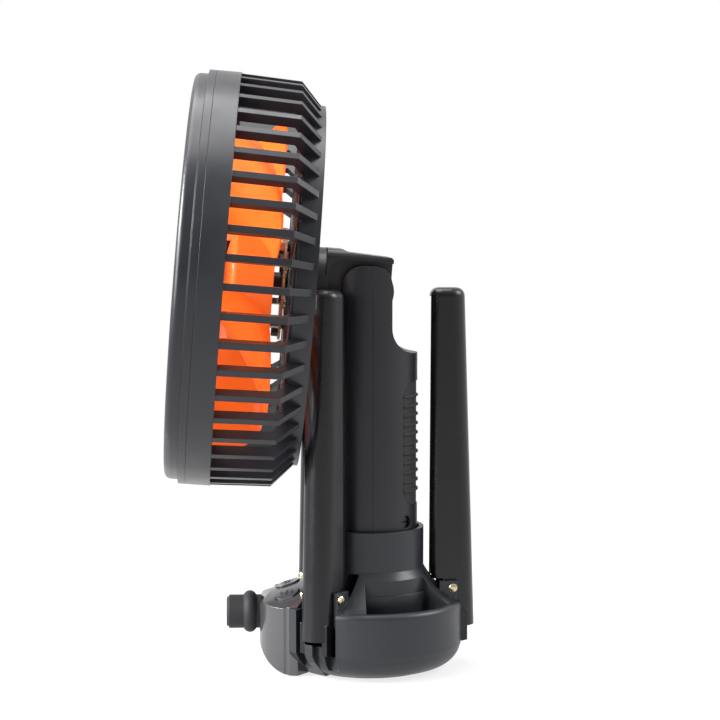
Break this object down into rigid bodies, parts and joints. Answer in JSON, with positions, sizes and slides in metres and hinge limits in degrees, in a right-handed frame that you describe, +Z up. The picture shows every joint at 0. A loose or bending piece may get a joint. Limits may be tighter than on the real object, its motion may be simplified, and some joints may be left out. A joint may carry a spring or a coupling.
{
  "type": "portable camping fan",
  "caption": "Portable camping fan: slatted round head with orange blades on a tilting yoke, a round battery column, and a base with fold-out legs, buttons and a speed knob.",
  "frame": {"origin": "column axis at the table, on the underside of the rubber foot", "axes": "-X the way the fan blows, +Z up, Y across the fan, and the tilt axis is along Y"},
  "size_m": [0.1511, 0.2, 0.2908],
  "materials": {
    "head_plastic": "fine moulded texture, charcoal",
    "column_plastic": "fine moulded texture, charcoal",
    "base_plastic": "fine moulded texture, charcoal",
    "pod_plastic": "satin, charcoal",
    "button_plastic": "satin, charcoal",
    "leg_plastic": "satin with a glossy tip, charcoal",
    "blade_plastic": "gloss, orange",
    "grip_rubber": "matt",
    "steel": "turned",
    "nickel_screw": "nickel plated",
    "black_screw": "blackened, slotted",
    "magnet": "sintered",
    "copper_winding": "enamelled wire on steel laminations",
    "circuit_board": "paper laminate",
    "cell_wrap": "shrink wrap",
    "holder_plastic": "moulded"
  },
  "bodies": {
    "stand": {"base_housing": "base_plastic", "base_cover": "base_plastic", "base_screws": "nickel_screw", "rubber_foot": "grip_rubber", "control_pod": "pod_plastic", "control_board": "circuit_board", "tact_switches": "holder_plastic", "speed_control": "holder_plastic", "column_front_shell": "column_plastic", "column_rear_shell": "column_plastic", "grip_panel": "grip_rubber", "battery_cells": "cell_wrap", "battery_holder": "holder_plastic", "main_board": "circuit_board", "column_screws": "black_screw", "tilt_shaft": "steel", "tilt_washers": "steel"},
    "head": {"front_bezel": "head_plastic", "front_grille": "head_plastic", "front_hub_cap": "head_plastic", "rear_cage": "head_plastic", "rear_guard": "head_plastic", "motor_stator": "copper_winding", "front_bearing": "steel", "rear_bearing": "steel", "motor_mount": "head_plastic", "motor_board": "circuit_board", "motor_screws": "nickel_screw", "neck_yoke": "head_plastic", "neck_screws": "nickel_screw"},
    "impeller": {"fan_blade": "blade_plastic", "blade_screws": "nickel_screw", "blade_cap": "blade_plastic", "rotor_cup": "steel", "rotor_magnet": "magnet", "motor_shaft": "steel"},
    "rear_leg": {"rear_leg": "leg_plastic", "rear_leg_pin": "nickel_screw"},
    "near_leg": {"near_leg": "leg_plastic", "near_leg_pin": "nickel_screw"},
    "far_leg": {"far_leg": "leg_plastic", "far_leg_pin": "nickel_screw"},
    "knob": {"speed_knob": "grip_rubber", "knob_shaft": "steel"},
    "near_button": {"near_button": "button_plastic"},
    "middle_button": {"middle_button": "button_plastic"},
    "far_button": {"far_button": "button_plastic"}
  },
  "joints": [
    {"name": "head_tilt", "type": "hinge", "parent": "stand", "child": "head", "pos_m": [-0.0024, 0, 0.18435], "axis": [0, 1, 0], "range_deg": [0, 85]},
    {"name": "blade_spin", "type": "hinge", "parent": "head", "child": "impeller", "pos_m": [-0.06997, 0, 0.18991], "axis": [0.9966, 0, -0.0819], "continuous": true},
    {"name": "rear_leg_swing", "type": "hinge", "parent": "stand", "child": "rear_leg", "pos_m": [0.04, 0, 0.03965], "axis": [0, 1, 0], "range_deg": [0, 104]},
    {"name": "near_leg_swing", "type": "hinge", "parent": "stand", "child": "near_leg", "pos_m": [-0.02463, -0.03152, 0.03965], "axis": [0.788, -0.6157, 0], "range_deg": [0, 2]},
    {"name": "far_leg_swing", "type": "hinge", "parent": "stand", "child": "far_leg", "pos_m": [-0.02463, 0.03152, 0.03965], "axis": [-0.788, -0.6157, 0], "range_deg": [0, 2]},
    {"name": "speed_knob_turn", "type": "hinge", "parent": "stand", "child": "knob", "pos_m": [-0.0544, 0, 0.027], "axis": [-1, 0, 0], "range_deg": [0, 270]},
    {"name": "near_button_press", "type": "slide", "parent": "stand", "child": "near_button", "axis": [0.3173, 0, -0.9483], "range_m": [0, 0.0008], "stiffness_N_per_m": 400, "springref_m": -0.0005},
    {"name": "middle_button_press", "type": "slide", "parent": "stand", "child": "middle_button", "axis": [0.3173, 0, -0.9483], "range_m": [0, 0.0008], "stiffness_N_per_m": 400, "springref_m": -0.0005},
    {"name": "far_button_press", "type": "slide", "parent": "stand", "child": "far_button", "axis": [0.3173, 0, -0.9483], "range_m": [0, 0.0008], "stiffness_N_per_m": 400, "springref_m": -0.0005}
  ]
}
